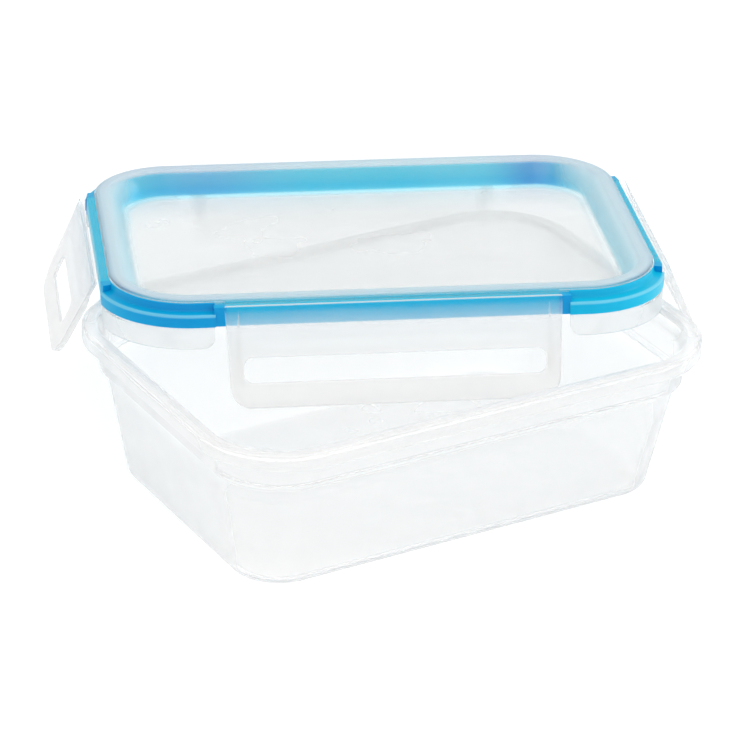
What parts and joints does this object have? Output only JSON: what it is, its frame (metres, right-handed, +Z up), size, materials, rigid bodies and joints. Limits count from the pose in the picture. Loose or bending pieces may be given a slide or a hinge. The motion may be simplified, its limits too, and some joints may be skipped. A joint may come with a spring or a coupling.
{
  "type": "snap lid food container",
  "caption": "Rectangular clear plastic food container with a loose lid, a soft blue seal ring, and a hinged snap latch on each side of the lid.",
  "frame": {"origin": "middle of the container's flat base, on the surface it stands on", "axes": "+X along the container's long side, +Y along its short side towards the side the lid is pushed to, +Z up"},
  "size_m": [0.2533, 0.2336, 0.082],
  "materials": {
    "container_plastic": "translucent natural polypropylene, glossy outside, faintly frosted",
    "lid_plastic": "translucent natural polypropylene, satin panel",
    "latch_plastic": "translucent natural polypropylene, glossy",
    "seal_rubber": "blue thermoplastic elastomer, satin"
  },
  "bodies": {
    "container": {"container": "container_plastic"},
    "lid": {"lid_shell": "lid_plastic", "seal_ring": "seal_rubber", "hinge_web_front": "lid_plastic", "hinge_web_back": "lid_plastic", "hinge_web_left": "lid_plastic", "hinge_web_right": "lid_plastic"},
    "latch_front": {"latch_front": "latch_plastic"},
    "latch_back": {"latch_back": "latch_plastic"},
    "latch_left": {"latch_left": "latch_plastic"},
    "latch_right": {"latch_right": "latch_plastic"}
  },
  "joints": [
    {"name": "lid_lift", "type": "slide", "parent": "container", "child": "lid", "axis": [0, 0, 1], "range_m": [0, 0.12]},
    {"name": "latch_front_hinge", "type": "hinge", "parent": "lid", "child": "latch_front", "pos_m": [-0.00749, -0.01254, 0.0804], "axis": [-0.9177, 0.3972, -0.0104], "range_deg": [-19, 131]},
    {"name": "latch_back_hinge", "type": "hinge", "parent": "lid", "child": "latch_back", "pos_m": [0.05298, 0.12687, 0.06884], "axis": [0.9177, -0.3972, 0.0104], "range_deg": [-20, 130]},
    {"name": "latch_left_hinge", "type": "hinge", "parent": "lid", "child": "latch_left", "pos_m": [-0.07536, 0.09963, 0.07351], "axis": [0.3968, 0.9148, -0.0758], "range_deg": [0, 124]},
    {"name": "latch_right_hinge", "type": "hinge", "parent": "lid", "child": "latch_right", "pos_m": [0.12084, 0.0147, 0.07574], "axis": [-0.3968, -0.9148, 0.0758], "range_deg": [-12, 126]}
  ]
}
